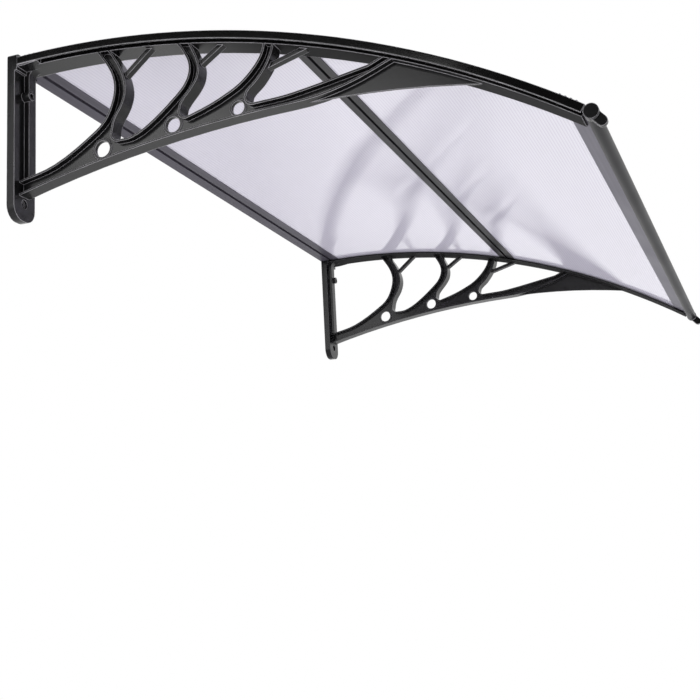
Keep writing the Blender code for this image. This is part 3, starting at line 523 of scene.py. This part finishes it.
def dress(node, finish, smooth):
    """Gives a node a finish in its own material slots, and smooth shading."""
    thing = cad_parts[node]
    thing.modifiers.new("smooth moulded faces", "NODES").node_group = smooth
    if not thing.material_slots:
        thing.data.materials.append(finish)
    for slot in thing.material_slots:
        slot.link = "OBJECT"
        slot.material = finish


def dress_canopy():
    _, sheet_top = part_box("rear_sheet")
    arch_centre_height = sheet_top.z + SHEET_SUNK - ROOF_RADIUS
    effects = {
        "grain": moulded_grain(),
        "rub_and_highlight": rubbed_and_highlit_edges(),
        "dust": fallen_dust(),
        "lines": die_lines(),
        "flutes": sheet_flutes(arch_centre_height),
        "rail": shaded_polished_rail(arch_centre_height),
    }
    plastic = black_plastic("black moulded plastic", effects)
    # The right bracket's copy: edges scuffed and painted bright less, over a smaller reach, and less
    # shiny
    plastic_less_highlit = black_plastic("black plastic, less scuffed and highlit", effects, reach=0.0009, wear_and_highlight=0.35, shine=0.20)
    cap_plastic = black_plastic("black cap plastic", effects, on_rail=False, shade=CAP_SHADE)
    sheet = clear_sheet("clear twin-wall polycarbonate", effects)
    steel = zinc_steel("bright zinc steel", effects)
    finishes = {
        "bracket_left": plastic,
        "bracket_right": plastic_less_highlit,
        "front_cap_left": cap_plastic,
        "front_cap_right": cap_plastic,
        "centre_screw_left": steel,
        "centre_screw_right": steel,
        "rear_bar": coated_bar("dark coated aluminium", effects, REAR_BAR_COAT),
        "centre_bar": coated_bar("coated aluminium painted darker as shade", effects, CENTRE_BAR_SHADED_COAT),
        "front_bar": coated_bar("coated aluminium with a dark bead", effects, FRONT_BAR_LIT_COAT, bead=True),
        "rear_sheet": sheet,
        "front_sheet": sheet,
    }
    smooth = smooth_faces()
    for node, finish in finishes.items():
        dress(node, finish, smooth)


# Studio


def lay_floor():
    bpy.ops.mesh.primitive_plane_add(size=FLOOR_SIZE, location=(0.0, 0.0, -FLOOR_DROP))
    floor = bpy.context.object
    floor.name = "studio_floor"
    floor.data.materials.append(floor_paper("pale floor"))


def hang_light(name, place, aim, size, power, mirrored=True):
    """A soft rectangular light, which shows in glossy faces only where mirrored."""
    lamp = bpy.data.lights.new(name, "AREA")
    lamp.shape = "RECTANGLE"
    lamp.size, lamp.size_y = size
    lamp.energy = power
    holder = bpy.data.objects.new(name, lamp)
    holder.location = place
    holder.rotation_mode = "QUATERNION"
    holder.rotation_quaternion = (Vector(aim) - Vector(place)).to_track_quat("-Z", "Y")
    bpy.context.scene.collection.objects.link(holder)
    holder.visible_camera = False
    holder.visible_glossy = mirrored


def studio_surround():
    """A white studio with a dark flag over the near side, so that black plastic stays black."""
    world = bpy.data.worlds.new("white studio")
    bpy.context.scene.world = world
    world.use_nodes = True
    tree = world.node_tree
    direction = split(tree, put(tree, "ShaderNodeTexCoord").outputs["Generated"])
    sideways = math_node(tree, "MULTIPLY", direction["X"], -1.0)
    near_side = ramp(tree, sideways, [(0.15, 0.0), (0.45, 1.0)])
    upwards = math_node(tree, "ADD", direction["Z"], FLAG_LOWERED)
    above = ramp(tree, upwards, [(0.05, 0.0), (0.25, 1.0)])
    flag = math_node(tree, "MULTIPLY", near_side, above)
    level = math_node(tree, "MULTIPLY_ADD", flag, FLAG_LEVEL - STUDIO_LEVEL, STUDIO_LEVEL)
    strength = put(tree, "ShaderNodeMix", data_type="FLOAT")
    wire(tree, put(tree, "ShaderNodeLightPath").outputs["Is Camera Ray"], strength.inputs[MIX_SHARE])
    for place, value in zip(MIX_NUMBERS, (level, BACKDROP_LEVEL)):
        feed(tree, value, strength.inputs[place])
    light = tree.nodes["Background"]
    wire(tree, strength.outputs[MIXED_NUMBER], light.inputs["Strength"])
    feed(tree, (1.0, 1.0, 1.0), light.inputs["Color"])


def set_camera():
    eye = bpy.data.cameras.new("camera")
    eye.sensor_width = SENSOR
    eye.lens = LENS
    eye.clip_start, eye.clip_end = NEAREST, FURTHEST
    holder = bpy.data.objects.new("camera", eye)
    bpy.context.scene.collection.objects.link(holder)
    look = LOOK.normalized()
    right = (RIGHT - look * RIGHT.dot(look)).normalized()
    up = right.cross(look)
    turn = Matrix((right, up, -look)).transposed().to_4x4()
    turn.translation = EYE
    holder.matrix_world = turn
    bpy.context.scene.camera = holder


def main():
    dress_canopy()
    lay_floor()
    studio_surround()
    hang_light("side softbox", **SIDE_SOFTBOX)
    hang_light("roof softbox", **ROOF_SOFTBOX, mirrored=False)
    set_camera()
    bpy.context.scene.view_settings.view_transform = "Standard"


main()
